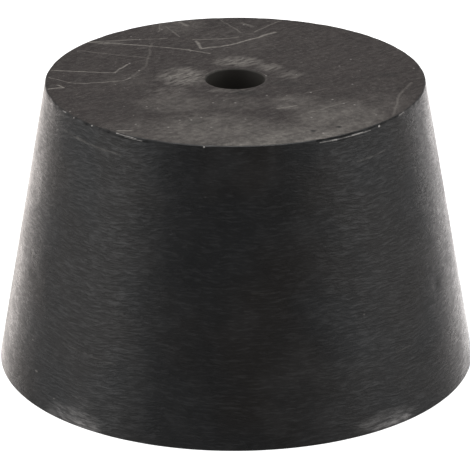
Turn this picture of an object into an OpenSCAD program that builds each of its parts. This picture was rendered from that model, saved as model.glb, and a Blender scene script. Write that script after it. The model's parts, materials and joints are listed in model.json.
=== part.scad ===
// One-hole tapered rubber stopper, moulded in one piece.
// It stands on its large end. The origin is the centre of that end's face, and +Z runs
// up the hole to the small end, which is the end that goes into a neck.

/* [Body] */
// Diameter of the large end, across its sharp corner
large_d = 41; // [34:0.5:60]
// Diameter of the small end, across its sharp corner
small_d = 32.1; // [20:0.1:40]
// Length from end face to end face
length = 25; // [15:0.5:45]

/* [Hole] */
// Diameter of the hole for a tube, rod or thermometer
hole_d = 5; // [2:0.1:12]

/* [Edges] */
// Radius of the rounding around the large end
large_rim_r = 0.1; // [0.05:0.05:2]
// Radius of the rounding around the small end
small_rim_r = 0.15; // [0.05:0.05:2]
// Radius of the rounding at both mouths of the hole
mouth_r = 0.15; // [0.05:0.05:1]

/* [Hidden] */
// Straight steps that make up each rounded edge
edge_steps = 6;
$fn = 180;

// The half section's sharp corners, as [radius, height, rounding], going round it once:
// up the hole, out over the small end, down the taper and back in over the large end.
corners = [
    [hole_d / 2, 0, mouth_r],
    [hole_d / 2, length, mouth_r],
    [small_d / 2, length, small_rim_r],
    [large_d / 2, 0, large_rim_r],
];

// Corner i of the half section as a point, counted round and round
function corner(i) = let (c = corners[(i + len(corners)) % len(corners)]) [c[0], c[1]];

function unit(v) = v / norm(v);

// The rounded edge that replaces corner i: points on an arc that meets both sides at a tangent
function rounded_corner(i) =
    let (
        back = unit(corner(i - 1) - corner(i)),
        ahead = unit(corner(i + 1) - corner(i)),
        half_angle = acos(back * ahead) / 2,
        r = corners[i][2],
        centre = corner(i) + unit(back + ahead) * r / sin(half_angle),
        outward = -unit(back + ahead),
        sweep = 90 - half_angle
    )
    [for (step = [0:edge_steps])
        let (turn = sweep * (1 - 2 * step / edge_steps))
        centre + r * [
            outward[0] * cos(turn) - outward[1] * sin(turn),
            outward[0] * sin(turn) + outward[1] * cos(turn),
        ]
    ];

// The taper, its hole and its rounded edges, turned from one half section
module stopper() {
    color([0.14, 0.135, 0.13])
        rotate_extrude()
            polygon([for (i = [0:len(corners) - 1]) each rounded_corner(i)]);
}

stopper();
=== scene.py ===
import json
import math

import bmesh
import bpy
import numpy as np
from mathutils import Matrix, Vector


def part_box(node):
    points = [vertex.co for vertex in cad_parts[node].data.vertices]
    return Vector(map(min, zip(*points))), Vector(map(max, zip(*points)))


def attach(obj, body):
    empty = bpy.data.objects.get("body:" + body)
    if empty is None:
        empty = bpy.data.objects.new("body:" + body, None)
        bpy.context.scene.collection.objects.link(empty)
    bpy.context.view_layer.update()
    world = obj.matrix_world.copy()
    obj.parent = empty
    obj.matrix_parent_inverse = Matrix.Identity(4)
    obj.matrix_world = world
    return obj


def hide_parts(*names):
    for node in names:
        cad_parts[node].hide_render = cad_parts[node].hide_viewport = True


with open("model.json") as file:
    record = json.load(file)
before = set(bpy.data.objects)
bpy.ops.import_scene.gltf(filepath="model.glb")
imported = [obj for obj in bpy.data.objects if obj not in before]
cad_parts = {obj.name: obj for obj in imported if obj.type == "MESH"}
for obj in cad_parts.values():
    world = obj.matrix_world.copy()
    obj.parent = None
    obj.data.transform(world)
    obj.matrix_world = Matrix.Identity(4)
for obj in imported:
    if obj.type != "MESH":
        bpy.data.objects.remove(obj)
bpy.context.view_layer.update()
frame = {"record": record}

# A one-hole tapered rubber stopper. The CAD node is one turned solid; this script puts a finer
# skin over it, with the ground faces, the worn rims and the scuffs of the real thing.
# Lengths are in millimetres until they reach a Blender object, and MM turns them into metres.
# Those of the stage and the camera are in metres from the start.
# Azimuths are in degrees: 0 faces the camera (-Y), 90 is +X, and the back is 180. Only the
# shader works in radians, from the same start.
MM = 0.001
LOW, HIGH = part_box("stopper")
MOUNTS = {mount["name"]: mount for mount in frame["record"]["mounts"]}

# ---- Sizes of the turned section, the same as the CAD's ----
LENGTH = (HIGH[2] - LOW[2]) / MM
BORE_R = MOUNTS["tube_bore"]["dims"]["r_mm"]
LARGE_R = 20.5
SMALL_R = 16.05
LARGE_RIM_R = 0.1
SMALL_RIM_R = 0.15
MOUTH_R = 0.15
WALL_MIDDLE_R = (LARGE_R + SMALL_R) / 2
# Half the angle that the small rim's rounding turns through, in radians
RIM_HALF_TURN = 0.85
# The skin lies about this far inside the turned solid, which leaves room for its unevenness
SKIN_INSET = 0.008

# ---- How finely the skin is cut ----
# Points round a ring: on the wall and the outer small end, on the rest of the ends, by the hole
AROUND_FINE = 576
AROUND_HALF = 288
AROUND_BORE = 144
# Where an end's rings change from one of those to the next
FINE_FACE_R = 9.0
BORE_FACE_R = 4.6
# Rings from one rounding to the next
WALL_RINGS = 88
TOP_RINGS = 42
BORE_RINGS = 36
BOTTOM_RINGS = 30
# Points of the top mouth's rounding that are pale like the end; the rest are dark like the hole
PALE_MOUTH_POINTS = 2
# A full turn in radians, near enough to draw a random phase from
ANY_PHASE = 6.3

# ---- Unevenness and wear that show as shape ----
# How far the wall swells and ripples, and how far an end face swells with each of its waves
WALL_SWELL = 0.006
WALL_RIPPLE = 0.003
FACE_SWELL = 0.002
# How far the wear and the flash reach from the middle of the small rim, over the section, and
# how far from it the wall is even
RIM_WEAR_REACH = 0.22
RIM_FLASH_REACH = 0.05
RIM_EVEN_REACH = 0.6
# Nicks in the small rim: (azimuth, width along the rim, depth)
RIM_NICKS = [
    (-74, 0.5, 0.056), (-66, 0.9, 0.049), (-58, 0.5, 0.07), (-51, 0.7, 0.042), (-44, 0.4, 0.056),
    (-20, 0.3, 0.035), (-9, 0.25, 0.042), (14, 0.4, 0.035), (27, 0.5, 0.056), (39, 0.4, 0.042),
    (52, 0.5, 0.063), (61, 0.7, 0.056), (70, 0.4, 0.042),
]
# How many more slight ones lie all round it
SLIGHT_NICKS = 60
# Slivers of flash left standing on the small rim: (azimuth, length, height)
RIM_FLASH = [
    (-34, 1.5, 0.05), (-28, 0.7, 0.03), (29, 0.5, 0.04), (34, 1.3, 0.055), (43, 0.5, 0.05),
]
# Dents in the wall: (azimuth, height, length round the wall, width up it, depth)
WALL_DENTS = [
    (-64, 10.4, 1.3, 0.28, 0.09), (-88, 14.2, 0.5, 0.35, 0.10), (63, 9.6, 0.6, 0.5, 0.05),
    (118, 6.0, 1.2, 0.4, 0.07), (-140, 17.0, 0.8, 0.5, 0.06), (172, 11.0, 2.0, 0.3, 0.06),
]

# ---- Colours, linear ----
WALL_BLACK = (0.0099, 0.0101, 0.0105, 1)
WALL_WARM = (0.0110, 0.0101, 0.0096, 1)
WALL_PALE = (0.20, 0.20, 0.205, 1)
# Pale colour for a painted reflection of the floor low on the wall, and for worn patches
FLOOR_REFLECTION_AND_RUB = (0.22, 0.21, 0.205, 1)
FACE_BROWN = (0.0132, 0.0096, 0.0091, 1)
FACE_GREY = (0.0195, 0.0150, 0.0140, 1)
BORE_BLACK = (0.036, 0.033, 0.029, 1)
# Pale colour of the scuffs, also used for painted light on the end faces and the painted highlight round
# the hole
SCUFF_AND_PAINTED_LIGHT = (0.22, 0.205, 0.185, 1)
DUST = (0.42, 0.40, 0.38, 1)
SMUDGE = (0.006, 0.006, 0.005, 1)
# Painted shade for the pinholes and pores of the end faces
PIT_SHADE = (0.003, 0.003, 0.003, 1)
# Dark colour along the small rim, with painted shade in its undercuts
RIM_DARK_TONE = (0.002, 0.002, 0.002, 1)

# ---- Wear that shows as colour ----
# Which way the grain of the end faces runs
FACE_GRAIN = math.radians(42)
# Scratches on the small end: (width, strength, points), with +Y away from the camera
FACE_SCRATCHES = [
    (0.17, 0.80, [(-12.7, 9.6), (-5.9, 10.4)]),
    (0.17, 0.95, [(-13.0, 9.5), (-10.6, 9.1), (-7.2, 8.4), (-3.6, 7.2), (-2.2, 6.4)]),
    (0.18, 0.35, [(-6.6, 14.2), (-6.7, 12.1)]),
    (0.18, 0.35, [(-6.1, 13.6), (-4.9, 10.9)]),
    (0.45, 0.50, [(-4.9, 14.7), (-4.2, 13.8)]),
    (0.18, 0.38, [(-1.2, 15.2), (0.5, 11.9)]),
    (0.20, 0.55, [(4.0, 15.0), (1.7, 12.1)]),
    (0.50, 0.30, [(0.6, 14.4), (1.5, 13.4)]),
    (0.28, 0.95, [(2.8, 11.2), (1.4, 10.1), (-0.4, 8.6), (-2.3, 7.9), (-2.9, 7.7)]),
    (0.45, 0.80, [(3.5, 11.9), (2.2, 10.8)]),
    (0.18, 0.80, [(-3.7, 10.0), (-1.2, 10.2), (0.3, 10.7)]),
    (0.34, 0.80, [(-3.4, 9.7), (-2.95, 7.8)]),
    (0.17, 0.40, [(-13.7, 7.3), (-10.1, 6.1), (-7.4, 5.3)]),
    (0.18, 0.90, [(-15.6, 2.3), (-10.2, 1.55)]),
    (0.24, 0.75, [(-10.3, 1.6), (-9.2, 3.7)]),
    (0.16, 0.80, [(-15.7, 0.5), (-13.9, -0.9), (-12.5, -1.0), (-9.6, -0.5), (-8.8, 0.3)]),
    (0.30, 0.20, [(-8.9, 0.3), (-7.6, 3.2), (-7.2, 9.0)]),
    (0.22, 0.95, [(-15.9, -2.4), (-14.4, -2.1), (-14.95, -1.4)]),
    (0.28, 0.27, [(14.8, -1.1), (13.6, -4.3), (13.0, -8.9)]),
    (0.26, 0.60, [(3.5, -7.3), (5.0, -6.7)]),
    (0.16, 0.95, [(-9.6, -12.4), (-8.4, -12.3)]),
    (0.15, 0.42, [(6.0, -8.4), (9.2, -5.8)]),
    (0.14, 0.22, [(5.4, -3.9), (7.8, -2.4)]),
]
# Pinholes in the small end, as strokes that are too short to see as such
FACE_PINHOLES = [
    (0.60, 1.0, [(8.4, -11.7), (8.41, -11.7)]),
    (0.52, 1.0, [(6.3, -12.6), (6.31, -12.6)]),
    (0.30, 0.5, [(13.5, 1.0), (13.6, 1.1)]),
    (0.25, 0.5, [(12.9, 0.7), (13.0, 0.7)]),
    (0.22, 0.6, [(-6.9, -1.0), (-6.7, -0.9)]),
]
# Whitish scuffs, most of them round the hole's mouth: (x, y, half width, half depth, strength)
FACE_SCUFFS = [
    (-4.4, 0.5, 2.6, 3.0, 1.0), (0.2, 4.3, 2.6, 1.7, 0.9), (2.9, 2.9, 1.4, 1.3, 0.8),
    (-0.5, -2.9, 3.2, 0.7, 0.35), (-10.9, 9.2, 1.4, 0.8, 0.6), (4.7, 0.9, 1.6, 1.5, 0.45),
    (4.3, -7.0, 1.1, 0.5, 0.45), (4.2, -5.2, 0.8, 0.7, 0.5), (-5.6, -3.0, 2.4, 1.6, 0.35),
]
# Dark smudges on it, in the same way
FACE_SMUDGES = [
    (0.9, -3.5, 1.5, 0.9, 0.6), (4.4, -1.3, 1.6, 0.8, 0.45), (-3.3, -10.3, 1.2, 0.9, 0.35),
    (-9.5, -6.5, 2.0, 1.5, 0.2), (12.9, 0.8, 1.2, 0.8, 0.5),
]
# Where an end face is painted paler, as painted light that is strongest towards the front, in the same
# way
FACE_PAINTED_LIGHT = [
    (6, -16.5, 12, 6.8, 0.37), (8.8, -10, 5, 6, 0.25), (12.5, -6, 3, 3.5, 0.08),
    (0, -6, 3, 2.5, 0.10), (-2, -12.5, 7, 5, 0.24), (-5, -6, 4, 2.8, 0.17), (5, -6, 3, 2.5, 0.16),
    (-5, 14, 3, 3, 0.11), (0, 9, 4, 5, 0.04), (-8, -13, 4, 4, 0.12), (-9, 0, 3, 2, 0.05),
]
# Scratches on the wall: (width, strength, points as azimuth and height)
WALL_SCRATCHES = [
    (0.20, 0.14, [(-60, 23.5), (-50, 23.4), (-42, 23.35), (-35, 23.3)]),
    (0.30, 0.28, [(-53, 23.45), (-49, 23.4)]),
    (0.22, 0.20, [(-49, 23.4), (-40, 23.3)]),
    (0.20, 0.13, [(37, 22.5), (48, 22.7)]),
    (0.10, 0.06, [(4, 13.0), (10, 13.0)]),
    (0.14, 0.10, [(-48, 6.4), (-31, 6.1)]),
    (0.14, 0.14, [(43, 6.0), (48, 6.1)]),
    (0.16, 0.60, [(-61, 5.2), (-60.8, 5.2)]),
    (0.18, 0.50, [(-57.5, 2.9), (-56.8, 2.9)]),
    (0.16, 0.50, [(-49, 1.5), (-48.8, 1.5)]),
    (0.18, 0.50, [(64, 14.6), (64.5, 14.3)]),
    (0.14, 0.50, [(34, 10.0), (34.2, 10.0)]),
    (0.14, 0.45, [(130, 18.0), (150, 17.5)]),
    (0.12, 0.40, [(-165, 8.4), (-142, 8.9)]),
    (0.12, 0.35, [(100, 12.0), (112, 12.3)]),
    (0.13, 0.40, [(-122, 20.0), (-104, 19.4)]),
]
# Bright slivers and specks on the small rim, in the same way
RIM_BRIGHT = [
    (0.08, 0.95, [(-37.0, 24.95), (-30.0, 24.88)]), (0.06, 0.5, [(-34.0, 24.82), (-28.0, 24.78)]),
    (0.09, 0.55, [(25.0, 24.72), (43.0, 24.73)]), (0.14, 0.7, [(29.0, 24.72), (30.5, 24.72)]),
    (0.13, 0.60, [(36.0, 24.75), (40.0, 24.75)]), (0.15, 0.8, [(-9.2, 24.86), (-9.0, 24.86)]),
    (0.22, 0.8, [(46.6, 24.80), (46.9, 24.80)]), (0.14, 0.7, [(-47.0, 24.9), (-46.8, 24.9)]),
    (0.14, 0.7, [(-55.8, 24.88), (-55.6, 24.88)]), (0.10, 0.4, [(-62.5, 24.9), (-60.5, 24.93)]),
    (0.10, 0.4, [(57.0, 24.9), (60.0, 24.9)]), (0.12, 0.6, [(118.0, 24.92), (121.0, 24.9)]),
    (0.15, 0.7, [(-150.0, 24.9), (-149.6, 24.9)]),
]
# Painted shade in the undercuts beside them
RIM_DARK = [
    (0.20, 1.0, [(24.0, 24.91), (56.0, 24.91)]), (0.16, 0.9, [(-36.0, 24.76), (-26.0, 24.78)]),
    (0.12, 0.6, [(28.0, 24.60), (42.0, 24.60)]),
]
# Pale patches just above the bottom edge: (azimuth, height, half length, half height, strength). Those
# at the front left and right are a painted reflection of the lit floor beside the stopper; the two at
# the back are worn patches.
WALL_REFLECTIONS_AND_RUBS = [
    (-42, 0.50, 3.4, 1.3, 0.5), (-39, 0.35, 2.2, 0.5, 0.9), (-40, 2.0, 1.6, 0.8, 0.12),
    (38, 0.7, 3.4, 1.1, 0.35), (39, 0.40, 2.4, 0.34, 0.85), (43, 0.45, 1.0, 0.30, 1.0),
    (150, 0.5, 3.2, 0.9, 0.6), (-125, 0.4, 2.6, 1.0, 0.6),
]

# ---- The stage and the camera, in metres ----
FLOOR_HALF = 2.0
DOME_R = 1.8
LAMP_PLACE = (0, 0.10, 0.5)
LAMP_TARGET = (0, 0, 0)
LAMP_SIZE = (0.5, 0.35)
LAMP_RADIANCE = 4.8
CAMERA_TARGET = (-0.0000733, 0, 0.010731)
CAMERA_DISTANCE = 0.3043
CAMERA_ELEVATION = 0.3895
CAMERA_ROLL = -0.0037
CAMERA_LENS = 271.37


# ---------------------------------------------------------------- the section


def unit(vector):
    return np.asarray(vector, float) / np.linalg.norm(vector)


def rounded_corner(before, corner, after, radius, steps):
    """Points on the arc that rounds a corner of the section, from one side to the other."""
    back, ahead = unit(np.subtract(before, corner)), unit(np.subtract(after, corner))
    half = math.acos(float(back @ ahead)) / 2
    outward = -unit(back + ahead)
    across = np.array([-outward[1], outward[0]])
    centre = np.asarray(corner) - outward * radius / math.sin(half)
    turns = np.linspace(half - math.pi / 2, math.pi / 2 - half, steps + 1)
    return [centre + radius * (outward * math.cos(t) + across * math.sin(t)) for t in turns]


def straight(start, end, steps):
    """Points between two ends, leaving out both."""
    return [start + (end - start) * k / steps for k in range(1, steps)]


def section():
    """The rings of the skin round the closed section, as a list of (radius, height) and the
    part of the stopper that each ring starts a band of."""
    corners = [(LARGE_R, 0), (SMALL_R, LENGTH), (BORE_R, LENGTH), (BORE_R, 0)]
    # The radius of the rounding at each corner, and the steps that it is cut into
    roundings = [(LARGE_RIM_R, 7), (SMALL_RIM_R, 9), (MOUTH_R, 6), (MOUTH_R, 5)]
    large, small, top_mouth, bottom_mouth = [
        rounded_corner(corners[k - 1], corners[k], corners[(k + 1) % 4], *roundings[k])
        for k in range(4)
    ]
    pale_mouth, dark_mouth = top_mouth[:PALE_MOUTH_POINTS], top_mouth[PALE_MOUTH_POINTS:]
    bands = [
        ("wall", large + straight(large[-1], small[0], WALL_RINGS) + small[:-1]),
        ("top", small[-1:] + straight(small[-1], top_mouth[0], TOP_RINGS) + pale_mouth),
        ("bore", dark_mouth + straight(top_mouth[-1], bottom_mouth[0], BORE_RINGS)),
        ("bottom", bottom_mouth + straight(bottom_mouth[-1], large[0], BOTTOM_RINGS)),
    ]
    points = np.array([point for _, band in bands for point in band])
    return points, [part for part, band in bands for _ in band]


def normals_of(points):
    """The outward direction of the closed section at each of its points."""
    ahead = np.roll(points, -1, 0) - points
    ahead /= np.linalg.norm(ahead, axis=1)[:, None]
    tangent = ahead + np.roll(ahead, 1, 0)
    normal = np.stack([tangent[:, 1], -tangent[:, 0]], 1)
    return normal / np.linalg.norm(normal, axis=1)[:, None]


# ---------------------------------------------------------------- relief of the skin


def bell(x, width):
    """1 at the middle, and down to almost nothing at twice the width."""
    return np.exp(-((x / width) ** 2))


def gap_to(turn, azimuth):
    """Signed angle from an azimuth to each turn, the short way round, in radians."""
    return (turn - math.radians(azimuth - 90) + math.pi) % (2 * math.pi) - math.pi


def ripple(turn, height, seed, waves, around, along):
    """A smooth, seamless unevenness round the wall, mostly within -1 to 1. Each wave has
    around[0] or more crests round the wall, but fewer than around[1], and up to along up it."""
    rng = np.random.default_rng(seed)
    total = np.zeros_like(turn)
    for _ in range(waves):
        phase = rng.integers(*around) * turn + rng.uniform(-along, along) * height / LENGTH * ANY_PHASE
        total += np.cos(phase + rng.uniform(0, ANY_PHASE))
    return total / math.sqrt(2 * waves)


def wall_relief(turn, radius, height):
    """How far the wall stands out from an even cone."""
    out = WALL_SWELL * (ripple(turn, height, seed=3, waves=14, around=(1, 9), along=1.6) - 1)
    out += WALL_RIPPLE * (ripple(turn, height, seed=4, waves=24, around=(10, 46), along=6.0) - 1)
    for azimuth, z, length, width, depth in WALL_DENTS:
        out -= depth * bell(gap_to(turn, azimuth) * radius, length) * bell(height - z, width)
    return out


def face_relief(turn, radius, seed):
    """How far an end face stands out from a true plane."""
    rng = np.random.default_rng(seed)
    total = np.zeros_like(turn)
    for _ in range(12):
        wave, heading = rng.uniform(0.1, 0.9), rng.uniform(0, math.pi)
        total += np.cos(wave * radius * np.cos(turn - heading) + rng.uniform(0, ANY_PHASE))
    return FACE_SWELL * total


def rim_wear(turn, along):
    """What the small rim has lost to nicks and kept as flash. along is the distance from the
    middle of its rounding, over the section."""
    rng = np.random.default_rng(8)
    lost = np.zeros_like(turn)
    for azimuth, width, depth in RIM_NICKS:
        lost += depth * bell(gap_to(turn, azimuth) * SMALL_R, width)
    for _ in range(SLIGHT_NICKS):
        azimuth = rng.uniform(0, 360)
        width = rng.uniform(0.12, 0.6)
        depth = rng.uniform(0.005, 0.025)
        lost += depth * bell(gap_to(turn, azimuth) * SMALL_R, width)
    out = -lost * bell(along, RIM_WEAR_REACH)
    for azimuth, length, height in RIM_FLASH:
        standing = height * bell(gap_to(turn, azimuth) * SMALL_R, length / 2) ** 2
        out += standing * bell(along, RIM_FLASH_REACH)
    return out


# ---------------------------------------------------------------- the skin


def ring_size(part, radius):
    """How many points go round a ring."""
    if part == "bore" or radius < BORE_FACE_R:
        return AROUND_BORE
    if part == "wall" or (part == "top" and radius > FINE_FACE_R):
        return AROUND_FINE
    return AROUND_HALF


def band_faces(size, next_size):
    """Faces that join a ring to the next, whose size is the same, half or double. Each corner
    is (0 or 1 for the ring, number of the point, which is the ring's size after a full turn)."""
    if size == next_size:
        for j in range(size):
            yield [(0, j), (0, j + 1), (1, j + 1), (1, j)]
    elif size == 2 * next_size:
        for j in range(next_size):
            yield [(0, 2 * j), (0, 2 * j + 1), (1, j)]
            yield [(0, 2 * j + 1), (1, j + 1), (1, j)]
            yield [(0, 2 * j + 1), (0, 2 * j + 2), (1, j + 1)]
    else:
        for j in range(size):
            yield [(0, j), (0, j + 1), (1, 2 * j + 1)]
            yield [(0, j), (1, 2 * j + 1), (1, 2 * j)]
            yield [(0, j + 1), (1, 2 * j + 2), (1, 2 * j + 1)]


class Sheet:
    """Lays the skin out flat, for the export to paint on. Lengths are millimetres on a square
    sheet: two strips of wall at the bottom, the end faces above them, the bore at the side."""

    SIDE = 86.0
    MARGIN = 0.6
    STRIP = 68.0

    def __init__(self, points, parts):
        steps = np.linalg.norm(np.roll(points, -1, 0) - points, axis=1)
        self.run = np.concatenate([[0], np.cumsum(steps)])
        self.start = {part: self.run[parts.index(part)] for part in ("wall", "top", "bore", "bottom")}
        self.wall_high = self.start["top"]
        self.faces_from = 2 * self.wall_high + 3 * self.MARGIN
        self.disc_r = (self.SIDE - self.faces_from - self.MARGIN) / 2

    def place(self, part, k, turn, middle):
        """Where a point of ring k goes, from 0 to 1 both ways. turn is from 0 to 1, and middle
        is the turn at the middle of the face that asks."""
        far = self.run[k] - self.start[part]
        if part == "wall":
            half = int(middle > 0.5)
            x = self.MARGIN + (2 * turn - half) * self.STRIP
            y = self.MARGIN + half * (self.wall_high + self.MARGIN) + far
        elif part == "bore":
            x = self.STRIP + 2 * self.MARGIN + turn * (self.SIDE - self.STRIP - 3 * self.MARGIN)
            y = self.MARGIN + far / (self.start["bottom"] - self.start["bore"]) * 2 * self.wall_high
        else:
            whole = SMALL_R if part == "top" else LARGE_R
            end = self.run[-1] - self.start["bottom"]
            radius = (whole - far if part == "top" else whole - end + far) * self.disc_r / whole
            middle_x = self.disc_r + self.MARGIN
            if part == "bottom":
                middle_x += 2 * self.disc_r + self.MARGIN
            x = middle_x + radius * math.cos(2 * math.pi * turn)
            y = self.faces_from + self.disc_r + radius * math.sin(2 * math.pi * turn)
        return x / self.SIDE, y / self.SIDE


def make_rings(points, parts, sheet):
    """The skin's points, a ring at a time, with its unevenness and wear."""
    normals = normals_of(points)
    rim_middle = sheet.start["top"] - SMALL_RIM_R * RIM_HALF_TURN
    rings = []
    for k, (radius, height) in enumerate(points):
        size = ring_size(parts[k], radius)
        turn = np.arange(size) * 2 * math.pi / size
        along = sheet.run[k] - rim_middle
        out = np.zeros(size)
        if parts[k] == "wall":
            out = wall_relief(turn, radius, height) * (1 - bell(along, RIM_EVEN_REACH))
        elif parts[k] != "bore":
            out = face_relief(turn, radius, seed=11 if parts[k] == "top" else 12)
            out *= min(1, (radius - BORE_R) / 1.5)
        out += rim_wear(turn, along) - SKIN_INSET
        ring_r = radius + normals[k][0] * out
        ring_z = np.clip(height + normals[k][1] * out, 0, LENGTH)
        rings.append(np.stack([ring_r * np.cos(turn), ring_r * np.sin(turn), ring_z], 1))
    return rings


def zone_colours(rings, parts):
    """A colour for each point: red on the small end, green on the large end, blue in the bore."""
    return np.concatenate([
        np.tile([part == "top", part == "bottom", part == "bore", 1], (len(ring), 1))
        for ring, part in zip(rings, parts)
    ])


def make_faces(sizes, parts, sheet):
    """The faces that join the rings, and the place on the sheet of each of their corners."""
    first = np.concatenate([[0], np.cumsum(sizes)])
    faces, places = [], []
    for k, size in enumerate(sizes):
        ahead = (k + 1) % len(sizes)
        for face in band_faces(size, sizes[ahead]):
            turns = [j / (sizes[ahead] if ring else size) for ring, j in face]
            middle = sum(turns) / len(turns)
            faces.append([
                int(first[ahead] + j % sizes[ahead] if ring else first[k] + j % size)
                for ring, j in face
            ])
            places += [
                sheet.place(parts[k], k + ring, turn, middle) for (ring, _), turn in zip(face, turns)
            ]
    return faces, places


def make_skin(material):
    """The stopper's visible surface: one closed mesh of rings round the section."""
    points, parts = section()
    sheet = Sheet(points, parts)
    rings = make_rings(points, parts, sheet)
    faces, places = make_faces([len(ring) for ring in rings], parts, sheet)
    mesh = bpy.data.meshes.new("stopper_skin")
    mesh.from_pydata((np.concatenate(rings) * MM).tolist(), [], faces)
    zone = mesh.color_attributes.new("zone", "FLOAT_COLOR", "POINT")
    zone.data.foreach_set("color", zone_colours(rings, parts).astype(np.float32).ravel())
    layer = mesh.uv_layers.new(name="OFBake")
    layer.data.foreach_set("uv", np.asarray(places, np.float32).ravel())
    mesh.polygons.foreach_set("use_smooth", np.ones(len(mesh.polygons), bool))
    mesh.materials.append(material)
    mesh.update()
    skin = bpy.data.objects.new("stopper_skin", mesh)
    bpy.context.scene.collection.objects.link(skin)
    return skin


# ---------------------------------------------------------------- the rubber


class Graph:
    """Short calls that add shader nodes and join them up."""

    def __init__(self, tree):
        self.tree = tree

    def feed(self, slot, value):
        if isinstance(value, bpy.types.NodeSocket):
            self.tree.links.new(value, slot)
        else:
            slot.default_value = value

    def add(self, kind, values=(), **settings):
        """A new node. values feeds its inputs, by name or by number."""
        node = self.tree.nodes.new(kind)
        for name, value in settings.items():
            setattr(node, name, value)
        for slot, value in (values.items() if isinstance(values, dict) else enumerate(values)):
            self.feed(node.inputs[slot], value)
        return node

    def math(self, operation, *values, clamp=False):
        return self.add("ShaderNodeMath", values, operation=operation, use_clamp=clamp).outputs[0]

    def vector(self, operation, *values):
        node = self.add("ShaderNodeVectorMath", operation=operation)
        for slot, value in zip((s for s in node.inputs if s.enabled), values):
            self.feed(slot, value)
        return node.outputs["Value" if operation == "LENGTH" else "Vector"]

    def noise(self, where, scale=1.0, detail=2.0, roughness=0.5):
        values = {"Vector": where, "Scale": scale, "Detail": detail, "Roughness": roughness}
        return self.add("ShaderNodeTexNoise", values).outputs["Fac"]

    def span(self, value, low, high, to_low=0.0, to_high=1.0, smooth=False):
        """value carried from low..high to to_low..to_high, held at both ends."""
        values = {"Value": value, "From Min": low, "From Max": high, "To Min": to_low, "To Max": to_high}
        kind = "SMOOTHSTEP" if smooth else "LINEAR"
        return self.add("ShaderNodeMapRange", values, interpolation_type=kind).outputs[0]

    def mix(self, factor, a, b):
        node = self.add("ShaderNodeMix", data_type="RGBA")
        for name, value in (("Factor_Float", factor), ("A_Color", a), ("B_Color", b)):
            self.feed(next(s for s in node.inputs if s.identifier == name), value)
        return next(s for s in node.outputs if s.identifier == "Result_Color")


def strokes(g, x, y, marks):
    """How strongly a set of straight strokes marks each place (x, y), from 0 to 1."""
    total = 0.0
    for width, strength, points in marks:
        for (from_x, from_y), (to_x, to_y) in zip(points, points[1:]):
            run, rise = to_x - from_x, to_y - from_y
            square = run * run + rise * rise
            share = g.math("MULTIPLY_ADD", y, rise / square, -(from_x * run + from_y * rise) / square)
            share = g.math("MULTIPLY_ADD", x, run / square, share, clamp=True)
            off_x = g.math("SUBTRACT", x, g.math("MULTIPLY_ADD", share, run, from_x))
            off_y = g.math("SUBTRACT", y, g.math("MULTIPLY_ADD", share, rise, from_y))
            gap = g.math("MULTIPLY_ADD", off_x, off_x, g.math("MULTIPLY", off_y, off_y))
            mark = g.span(gap, width * width / 4, 0, 0, strength)
            total = g.math("MAXIMUM", mark, total)
    return total


def oval_patches(g, x, y, patches):
    """A soft oval patch round each place: (x, y, half width, half height, strength)."""
    total = 0.0
    for middle_x, middle_y, wide, high, strength in patches:
        off_x = g.math("MULTIPLY_ADD", x, 1 / wide, -middle_x / wide)
        off_y = g.math("MULTIPLY_ADD", y, 1 / high, -middle_y / high)
        gap = g.math("MULTIPLY_ADD", off_x, off_x, g.math("MULTIPLY", off_y, off_y))
        total = g.math("MAXIMUM", g.span(gap, 1, 0, 0, strength, smooth=True), total)
    return total


def specks(g, where, every, radius, share):
    """Small round specks, one to a cell of the given size, in that share of the cells."""
    cells = g.add("ShaderNodeTexVoronoi", {"Vector": where, "Scale": 1 / every})
    chosen = g.add("ShaderNodeSeparateColor", [cells.outputs["Color"]]).outputs[0]
    size = g.span(chosen, 1 - share, 1, radius * 0.5, radius)
    gap = g.math("MULTIPLY", cells.outputs["Distance"], every)
    dot = g.span(g.math("DIVIDE", gap, size), 1, 0.5)
    return g.math("MULTIPLY", dot, g.math("GREATER_THAN", chosen, 1 - share))


def bent(g, value, where):
    """A coordinate pushed to and fro by up to about a tenth of a millimetre."""
    return g.math("MULTIPLY_ADD", g.math("SUBTRACT", g.noise(where, scale=0.9), 0.5), 0.42, value)


def around_wall(marks):
    """Marks given by azimuth and height, as lengths round the wall and up it."""
    return [(width, strength, [(math.radians(azimuth) * WALL_MIDDLE_R, z) for azimuth, z in points])
            for width, strength, points in marks]


def wall_grain(g, where):
    """Fine dashes and longer streaks round the wall, which sway up and down as they go. Gives
    the dashes alone and both together."""
    sway = g.noise(where, scale=0.12)
    lift = g.add("ShaderNodeCombineXYZ", {"Z": g.math("MULTIPLY", sway, 1.9)}).outputs[0]
    wavy = g.vector("ADD", where, lift)
    dashes = g.noise(g.vector("MULTIPLY", wavy, (1.05, 1.05, 5.4)), detail=4.0, roughness=0.68)
    streaks = g.noise(g.vector("MULTIPLY", wavy, (0.30, 0.30, 3.4)), detail=3.0, roughness=0.6)
    both = g.math("ADD", g.math("MULTIPLY", dashes, 0.80), g.math("MULTIPLY", streaks, 0.20))
    return dashes, both


def darker_small_rim(g, where, azimuth, unrolled):
    """Darker along the small rim, most of it at the front left, and painted shade in the undercuts in
    front.
    """
    rim = g.span(unrolled[1], LENGTH - 0.34, LENGTH - 0.18)
    patchy = g.noise(g.vector("MULTIPLY", where, (1, 1, 0)), scale=1.2, detail=3.0)
    left = g.math("MULTIPLY", g.span(azimuth, -1.30, -1.05), g.span(azimuth, -0.20, -0.45))
    dirt = g.math("MULTIPLY", rim, g.span(patchy, 0.30, 0.66))
    dirt = g.math("MULTIPLY", dirt, g.math("ADD", g.math("MULTIPLY", left, 0.8), 0.15))
    return g.math("MAXIMUM", dirt, strokes(g, *unrolled, around_wall(RIM_DARK)))


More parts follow.
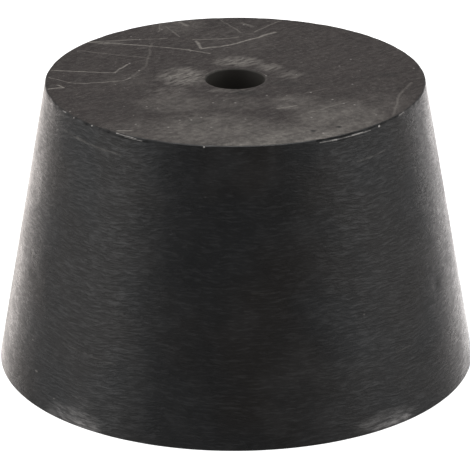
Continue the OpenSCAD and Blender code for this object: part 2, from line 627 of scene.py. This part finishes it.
def wall_finish(g, place, flat):
    """Ground rubber: fine wavy grain round the wall. Gives colour, roughness, gloss and height."""
    around = g.vector("SCALE", g.vector("NORMALIZE", flat), WALL_MIDDLE_R)
    where = g.vector("ADD", around, g.vector("MULTIPLY", place, (0, 0, 1)))
    dashes, grain = wall_grain(g, where)
    mottle = g.noise(where, scale=0.30, detail=4.0, roughness=0.6)
    warmth = g.span(g.noise(where, scale=0.13), 0.42, 0.62)

    x, y, z = g.add("ShaderNodeSeparateXYZ", [place]).outputs
    azimuth = g.math("ARCTAN2", x, g.math("MULTIPLY", y, -1.0))
    unrolled = g.math("MULTIPLY", azimuth, WALL_MIDDLE_R), z
    scratched = strokes(g, *unrolled, around_wall(WALL_SCRATCHES))
    scratched = g.math("MULTIPLY", scratched, g.span(grain, 0.35, 0.6, 0.3, 1.0))
    patches = [(math.radians(degrees) * WALL_MIDDLE_R, *patch) for degrees, *patch in WALL_REFLECTIONS_AND_RUBS]
    # Painted reflection of the lit floor at the front left and right of the bottom edge; worn patches at
    # the back
    floor_reflection_and_rub = g.math("MULTIPLY", oval_patches(g, *unrolled, patches), g.span(grain, 0.42, 0.58, 0.25, 1.0))

    colour = g.mix(warmth, WALL_BLACK, WALL_WARM)
    paler = g.span(grain, 0.51, 0.67, 0.0, 0.048)
    paler = g.math("ADD", paler, g.span(mottle, 0.5, 0.75, 0.0, 0.03))
    colour = g.mix(paler, colour, WALL_PALE)
    colour = g.mix(g.math("MULTIPLY", floor_reflection_and_rub, 0.8), colour, FLOOR_REFLECTION_AND_RUB)
    colour = g.mix(scratched, colour, SCUFF_AND_PAINTED_LIGHT)
    dust = specks(g, where, every=2.6, radius=0.07, share=0.06)
    colour = g.mix(g.math("MULTIPLY", dust, 0.12), colour, DUST)
    rim_darkening = darker_small_rim(g, where, azimuth, unrolled)
    # Painted shade in the rim's undercuts, and a darker band along the small rim
    colour = g.mix(rim_darkening, colour, RIM_DARK_TONE)
    flash = strokes(g, *unrolled, around_wall(RIM_BRIGHT))
    flash = g.math("MULTIPLY", flash, g.span(dashes, 0.34, 0.54, 0.3, 1.0))
    colour = g.mix(flash, colour, DUST)

    rough = g.span(grain, 0.35, 0.65, 0.345, 0.275)
    rough = g.math("ADD", rough, g.span(mottle, 0.35, 0.65, -0.06, 0.06))
    rough = g.math("ADD", rough, g.math("MULTIPLY", rim_darkening, 0.5))
    gloss = g.span(grain, 0.46, 0.60, 0.0, 0.27)
    relief = g.math("ADD", g.math("MULTIPLY", grain, 0.078), g.math("MULTIPLY", mottle, 0.05))
    return colour, rough, gloss, relief


def face_marks(g, flat, x, y, fine, speckle):
    """How strongly scuffs and scratches mark the small end, from 0 to 1."""
    bent_x = bent(g, x, flat)
    bent_y = bent(g, y, g.vector("ADD", flat, (0, 50, 0)))
    scuffed = oval_patches(g, bent_x, bent_y, FACE_SCUFFS)
    scuffed = g.math("MULTIPLY", scuffed, g.span(fine, 0.38, 0.60, 0.0, 0.55))
    faded = g.span(g.noise(flat, scale=0.55, detail=3.0), 0.34, 0.56, 0.56, 0.84)
    scratched = g.math("MULTIPLY", strokes(g, bent_x, bent_y, FACE_SCRATCHES), faded)
    scratched = g.math("MULTIPLY", scratched, g.span(speckle, 0.36, 0.52, 0.6, 1.0))
    return g.math("MAXIMUM", scuffed, scratched)


def face_finish(g, flat, is_top):
    """The end faces: a fine slanting grain over a marbled brown-grey, scuffed and scratched at
    the top. Gives colour, roughness and height."""
    turned = g.add("ShaderNodeVectorRotate", {"Vector": flat, "Angle": -FACE_GRAIN},
                   rotation_type="Z_AXIS")
    along = turned.outputs[0]
    fine = g.noise(g.vector("MULTIPLY", along, (0.85, 2.8, 1)), detail=4.0, roughness=0.7)
    broad = g.noise(g.vector("MULTIPLY", along, (0.16, 0.55, 1)), detail=4.0, roughness=0.65)
    mottle = g.noise(flat, scale=1.7, detail=5.0, roughness=0.75)
    speckle = g.noise(flat, scale=3.6, detail=2.0, roughness=0.6)
    x, y = g.add("ShaderNodeSeparateXYZ", [flat]).outputs[:2]

    colour = g.mix(g.span(broad, 0.38, 0.62), FACE_BROWN, FACE_GREY)
    pale = g.span(fine, 0.48, 0.72, 0.0, 0.05)
    pale = g.math("ADD", pale, g.span(mottle, 0.46, 0.72, 0.0, 0.12))
    pale = g.math("ADD", pale, g.span(speckle, 0.60, 0.76, 0.0, 0.27))
    patchy = g.span(broad, 0.3, 0.6, 0.5, 1.1)
    patchy = g.math("MULTIPLY", patchy, g.span(mottle, 0.36, 0.62, 0.55, 1.35))
    # Painted light: the end faces made paler in patches, most of all towards the front
    painted_light_patches = g.math("MULTIPLY", oval_patches(g, x, y, FACE_PAINTED_LIGHT), patchy)
    colour = g.mix(g.math("ADD", pale, painted_light_patches), colour, SCUFF_AND_PAINTED_LIGHT)
    marked = g.math("MULTIPLY", face_marks(g, flat, x, y, fine, speckle), is_top)
    colour = g.mix(marked, colour, SCUFF_AND_PAINTED_LIGHT)
    smudged = g.math("MULTIPLY", oval_patches(g, x, y, FACE_SMUDGES), g.span(mottle, 0.35, 0.55, 0.3, 1.0))
    colour = g.mix(g.math("MULTIPLY", smudged, is_top), colour, SMUDGE)
    # Painted highlight: a thin pale ring round the hole's mouth
    lip_highlight = g.span(g.vector("LENGTH", flat), BORE_R + 0.30, BORE_R + 0.12, 0.0, 0.16)
    colour = g.mix(g.math("MULTIPLY", lip_highlight, g.span(fine, 0.35, 0.55)), colour, SCUFF_AND_PAINTED_LIGHT)
    pits = g.math("MULTIPLY", strokes(g, x, y, FACE_PINHOLES), is_top)
    pores = specks(g, g.vector("ADD", flat, (40, 0, 0)), every=2.6, radius=0.11, share=0.12)
    pits = g.math("MAXIMUM", pits, pores)
    # Painted shade: the pinholes and pores darkened
    colour = g.mix(pits, colour, PIT_SHADE)
    dust = specks(g, flat, every=0.9, radius=0.13, share=0.34)
    grit = specks(g, g.vector("ADD", flat, (9, 70, 0)), every=2.0, radius=0.12, share=0.34)
    colour = g.mix(g.math("MULTIPLY", g.math("MAXIMUM", dust, grit), 0.40), colour, DUST)

    rough = g.span(fine, 0.35, 0.65, 0.80, 0.62)
    relief = g.math("ADD", g.math("MULTIPLY", fine, 0.03), g.math("MULTIPLY", mottle, 0.18))
    relief = g.math("ADD", relief, g.math("MULTIPLY", pits, -0.06))
    return colour, rough, relief


def make_rubber():
    """Black filled rubber: one material, with the wall, the end faces and the bore told apart
    by the skin's zone attribute."""
    material = bpy.data.materials.new("black_rubber")
    material.use_nodes = True
    tree = material.node_tree
    tree.nodes.clear()
    g = Graph(tree)
    place = g.vector("SCALE", g.add("ShaderNodeTexCoord").outputs["Object"], 1 / MM)
    flat = g.vector("MULTIPLY", place, (1, 1, 0))
    zone = g.add("ShaderNodeSeparateColor",
                 [g.add("ShaderNodeAttribute", attribute_name="zone").outputs["Color"]])
    is_top, is_bottom, is_bore = zone.outputs

    colour, rough, gloss, relief = wall_finish(g, place, flat)

    face, face_rough, face_relief = face_finish(g, flat, is_top)
    is_face = g.math("MAXIMUM", is_top, is_bottom)
    colour = g.mix(is_bore, g.mix(is_face, colour, face), BORE_BLACK)

    def pick(on_wall, on_face, on_bore):
        """One of three numbers, by the part of the stopper."""
        blend = g.add("ShaderNodeMix", {"Factor": is_face, "A": on_wall, "B": on_face}).outputs[0]
        return g.add("ShaderNodeMix", {"Factor": is_bore, "A": blend, "B": on_bore}).outputs[0]

    bump = g.add("ShaderNodeBump", {"Height": pick(relief, face_relief, 0.0), "Distance": MM})
    shader = g.add("ShaderNodeBsdfPrincipled", {
        "Base Color": colour, "Roughness": pick(rough, face_rough, 0.6), "Normal": bump.outputs[0],
        "Coat Weight": pick(gloss, 0.0, 0.0), "Coat Roughness": 0.28, "IOR": 1.33})
    output = g.add("ShaderNodeOutputMaterial")
    tree.links.new(shader.outputs[0], output.inputs[0])
    return material


# ---------------------------------------------------------------- the stage


def overhead_light():
    """A soft light above the stopper, out of the camera's sight."""
    lamp = bpy.data.lights.new("overhead", "AREA")
    lamp.shape = "RECTANGLE"
    lamp.size, lamp.size_y = LAMP_SIZE
    lamp.energy = LAMP_RADIANCE * LAMP_SIZE[0] * LAMP_SIZE[1] * math.pi
    box = bpy.data.objects.new("overhead", lamp)
    box.location = LAMP_PLACE
    box.rotation_euler = (Vector(LAMP_TARGET) - Vector(LAMP_PLACE)).to_track_quat("-Z", "Y").to_euler()
    box.visible_camera = False
    bpy.context.scene.collection.objects.link(box)


def glowing_floor():
    """A pale floor that glows, so that it stays white where the stopper shades it."""
    material = bpy.data.materials.new("light_table")
    material.use_nodes = True
    shader = material.node_tree.nodes["Principled BSDF"]
    shader.inputs["Base Color"].default_value = (0.3, 0.3, 0.3, 1)
    shader.inputs["Roughness"].default_value = 0.9
    shader.inputs["Emission Color"].default_value = (1, 1, 1, 1)
    shader.inputs["Emission Strength"].default_value = 1.05
    mesh = bpy.data.meshes.new("floor")
    corners = [(FLOOR_HALF * x, FLOOR_HALF * y, 0) for x, y in ((-1, -1), (1, -1), (1, 1), (-1, 1))]
    mesh.from_pydata(corners, [], [(0, 1, 2, 3)])
    mesh.materials.append(material)
    floor = bpy.data.objects.new("floor", mesh)
    floor.visible_glossy = False
    bpy.context.scene.collection.objects.link(floor)
    return floor


def white_backdrop():
    """A white dome all round that only the camera sees, so that no view shows a dark wall."""
    material = bpy.data.materials.new("white_backdrop")
    material.use_nodes = True
    material.node_tree.nodes.clear()
    g = Graph(material.node_tree)
    output = g.add("ShaderNodeOutputMaterial")
    g.feed(output.inputs[0], g.add("ShaderNodeEmission").outputs[0])
    material.cycles.emission_sampling = "NONE"
    shape = bmesh.new()
    bmesh.ops.create_uvsphere(shape, u_segments=48, v_segments=24, radius=DOME_R)
    mesh = bpy.data.meshes.new("backdrop")
    shape.to_mesh(mesh)
    shape.free()
    mesh.materials.append(material)
    dome = bpy.data.objects.new("backdrop", mesh)
    dome.visible_diffuse = dome.visible_glossy = dome.visible_transmission = False
    dome.visible_shadow = False
    bpy.context.scene.collection.objects.link(dome)
    return dome


def make_room():
    """What the rubber reflects: dark in front, lit at the sides, brightest low down behind."""
    world = bpy.data.worlds.new("room")
    world.use_nodes = True
    g = Graph(world.node_tree)
    heading = g.add("ShaderNodeSeparateXYZ", [g.add("ShaderNodeTexCoord").outputs["Generated"]])
    right, back, up = heading.outputs
    beside = g.span(back, -0.77, -0.46, 0, 1, smooth=True)
    behind = g.span(back, 0.50, 0.98, 0, 1, smooth=True)
    side_light = g.math("MULTIPLY", g.span(up, -0.20, 0.02, 0.35, 1.55), g.span(up, 0.3, 0.7, 1.0, 0.3))
    side_light = g.math("MULTIPLY", side_light, g.span(back, -0.40, 0.45, 1.58, 0.76))
    side_light = g.math("MULTIPLY", side_light, g.span(right, -0.8, 0.8, 1.04, 0.88))
    back_light = g.span(up, -0.08, 0.10, 2.4, 0.2)
    back_light = g.math("MULTIPLY", back_light, g.span(right, -0.5, -0.2, 1.19, 1.0))
    light = g.add("ShaderNodeMix", {"Factor": behind, "A": side_light, "B": back_light}).outputs[0]
    light = g.add("ShaderNodeMix", {"Factor": beside, "A": 0.12, "B": light}).outputs[0]
    warm = g.mix(g.span(right, -0.3, 0.1), (1, 0.93, 0.895, 1), (1, 0.96, 0.95, 1))
    tint = g.mix(g.span(back, 0.2, 0.7), (1, 1, 1, 1), warm)
    sky = world.node_tree.nodes["Background"]
    g.feed(sky.inputs["Strength"], light)
    g.feed(sky.inputs["Color"], tint)
    world.cycles.sampling_method = "NONE"
    bpy.context.scene.world = world


def make_stage():
    """Everything round the stopper, and colours shown as they are lit."""
    floor = glowing_floor()
    white_backdrop()
    make_room()
    overhead_light()
    scene = bpy.context.scene
    scene.view_settings.view_transform = "Standard"
    scene.view_settings.look = "None"


def make_camera():
    """A long lens about 0.3 m away, 22 degrees above the floor."""
    lens = bpy.data.cameras.new("camera")
    lens.sensor_width = 36
    lens.lens = CAMERA_LENS
    lens.clip_start, lens.clip_end = 0.01, 10
    camera = bpy.data.objects.new("camera", lens)
    back = Vector((0, -math.cos(CAMERA_ELEVATION), math.sin(CAMERA_ELEVATION)))
    place = Vector(CAMERA_TARGET) + back * CAMERA_DISTANCE
    turn = (-back).to_track_quat("-Z", "Y").to_matrix().to_4x4()
    camera.matrix_world = Matrix.Translation(place) @ turn @ Matrix.Rotation(CAMERA_ROLL, 4, "Z")
    bpy.context.scene.collection.objects.link(camera)
    bpy.context.scene.camera = camera


skin = make_skin(make_rubber())
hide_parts("stopper")
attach(skin, "root")
make_stage()
make_camera()
